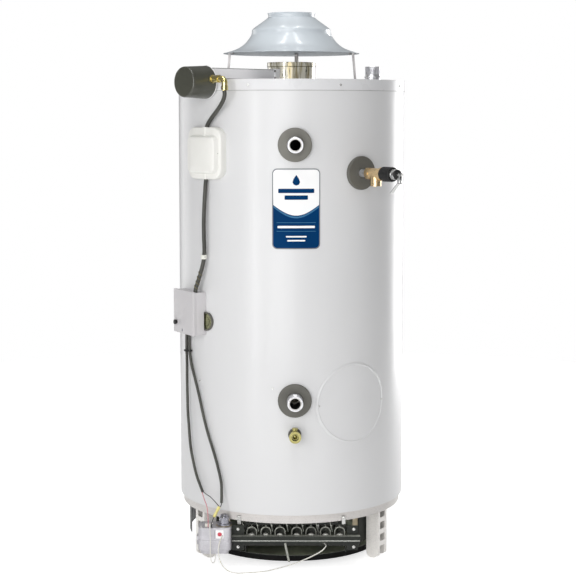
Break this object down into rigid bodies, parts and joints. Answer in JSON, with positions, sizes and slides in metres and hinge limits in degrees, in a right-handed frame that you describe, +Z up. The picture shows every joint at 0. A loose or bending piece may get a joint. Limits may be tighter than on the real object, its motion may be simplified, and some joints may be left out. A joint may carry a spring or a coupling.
{
  "type": "gas tank water heater",
  "caption": "Floor-standing gas tank water heater: round jacket on channel legs, draft hood with motorised flue damper, relief, drain and gas valves, open burner tray.",
  "frame": {"origin": "on the tank axis at floor level, under the feet", "axes": "+Z up, front with the burner mouths and nipples faces -Y, +X to the right seen from the front"},
  "size_m": [0.7314, 0.8136, 1.72],
  "materials": {
    "white_paint": "smooth gloss enamel",
    "warm_paint": "satin enamel with fine dark specks",
    "grey_paint": "satin enamel",
    "hood_paint": "satin bluish light grey",
    "olive_paint": "semi-gloss olive black",
    "black_paint": "semi-gloss black with scuffs",
    "screw_steel": "zinc plated",
    "plain_steel": "bright",
    "dark_steel": "dull",
    "galvanised": "zinc coated",
    "collar_steel": "bright stainless with streaks",
    "anode_metal": "dull",
    "cast_aluminium": "cast, machined on top",
    "gear_brass": "machined",
    "valve_brass": "cast and turned",
    "elbow_brass": "yellow zinc passivated",
    "well_brass": "dull greenish",
    "burner_iron": "black with olive highlights",
    "foam": "rigid foam",
    "ivory_plastic": "smooth",
    "loom_plastic": "charcoal corrugated sleeve",
    "cream_plastic": "moulded",
    "tie_plastic": "smooth",
    "board_plastic": "circuit board",
    "black_plastic": "moulded",
    "dark_plastic": "moulded",
    "wire_plastic": "coloured insulation",
    "yellow_plastic": "crimped sleeve",
    "knob_plastic": "moulded, ribbed",
    "label_blue": "printed film",
    "white_silicone": "matt silicone"
  },
  "bodies": {
    "cabinet": {"jacket": "white_paint", "top_cover": "white_paint", "base_ring": "warm_paint", "leg_left": "warm_paint", "leg_right": "warm_paint", "leg_rear": "warm_paint", "fasteners": "screw_steel", "cleanout_cover": "white_paint", "cleanout_plate": "dark_steel", "label_plate": "label_blue", "tank_shell": "dark_steel", "flue_baffles": "plain_steel", "insulation": "foam", "anode_rods": "anode_metal", "inlet_tube": "ivory_plastic", "flue_collector": "galvanised", "flue_collar": "collar_steel", "damper_motor": "dark_steel", "damper_bracket": "galvanised", "motor_cover": "olive_paint", "draft_hood": "hood_paint", "hood_legs": "galvanised", "conduit_elbow": "elbow_brass", "harness_upper": "loom_plastic", "junction_cover": "cream_plastic", "harness_middle": "loom_plastic", "harness_ties": "tie_plastic", "control_box": "grey_paint", "control_cover": "grey_paint", "control_board": "board_plastic", "thermostat_well": "well_brass", "harness_lower": "loom_plastic", "lead_wires": "wire_plastic", "splice_sleeve": "yellow_plastic", "pipe_nipples": "galvanised", "top_nipple": "galvanised", "nipple_liners": "black_plastic", "escutcheons": "dark_plastic", "relief_body": "valve_brass", "relief_cap": "black_plastic", "relief_spring": "plain_steel", "drain_body": "valve_brass", "gas_valve": "cast_aluminium", "gas_manifold": "black_paint", "orifices": "dark_steel", "burners": "burner_iron", "burner_tray": "black_paint", "burner_skirt": "black_paint", "drip_pan": "black_paint", "pilot_burner": "plain_steel", "igniter_lead": "white_silicone"},
    "damper": {"damper_blade": "collar_steel", "damper_shaft": "plain_steel", "damper_gear": "gear_brass"},
    "pinion": {"motor_pinion": "gear_brass"},
    "relief_stem": {"relief_stem": "plain_steel"},
    "relief_lever": {"relief_lever": "plain_steel"},
    "drain_stem": {"drain_stem": "valve_brass"},
    "gas_knob": {"gas_knob": "knob_plastic"},
    "reset_button": {"reset_button": "black_plastic"}
  },
  "joints": [
    {"name": "damper_turn", "type": "hinge", "parent": "cabinet", "child": "damper", "pos_m": [0, 0, 1.52], "axis": [-0.7071, -0.7071, 0], "range_deg": [0, 90]},
    {"name": "pinion_spin", "type": "hinge", "parent": "cabinet", "child": "pinion", "pos_m": [-0.26587, -0.26587, 1.496], "axis": [-0.7071, -0.7071, 0], "range_deg": [-270, 0]},
    {"name": "relief_lift", "type": "slide", "parent": "cabinet", "child": "relief_stem", "axis": [0.5807, -0.8141, 0], "range_m": [0, 0.004], "deforming": ["relief_spring"]},
    {"name": "lever_swing", "type": "hinge", "parent": "relief_stem", "child": "relief_lever", "pos_m": [0.31648, -0.44369, 1.223], "axis": [-0.8141, -0.5807, 0], "range_deg": [0, 75], "stiffness_Nm_per_rad": 0.1},
    {"name": "drain_turn", "type": "hinge", "parent": "cabinet", "child": "drain_stem", "pos_m": [0.01072, -0.38385, 0.434], "axis": [0, 0, 1], "range_deg": [0, 90]},
    {"name": "knob_turn", "type": "hinge", "parent": "cabinet", "child": "gas_knob", "pos_m": [-0.207, -0.31, 0.143], "axis": [0, 0, 1], "range_deg": [0, 180]},
    {"name": "button_push", "type": "slide", "parent": "cabinet", "child": "reset_button", "axis": [0.866, 0.5, 0], "range_m": [0, 0.003], "stiffness_N_per_m": 900}
  ],
  "couplings": [
    {"joint": "pinion_spin", "follows": "damper_turn", "ratio": -3},
    {"joint": "relief_lift", "follows": "lever_swing", "m_per_rad": 0.0030558}
  ]
}
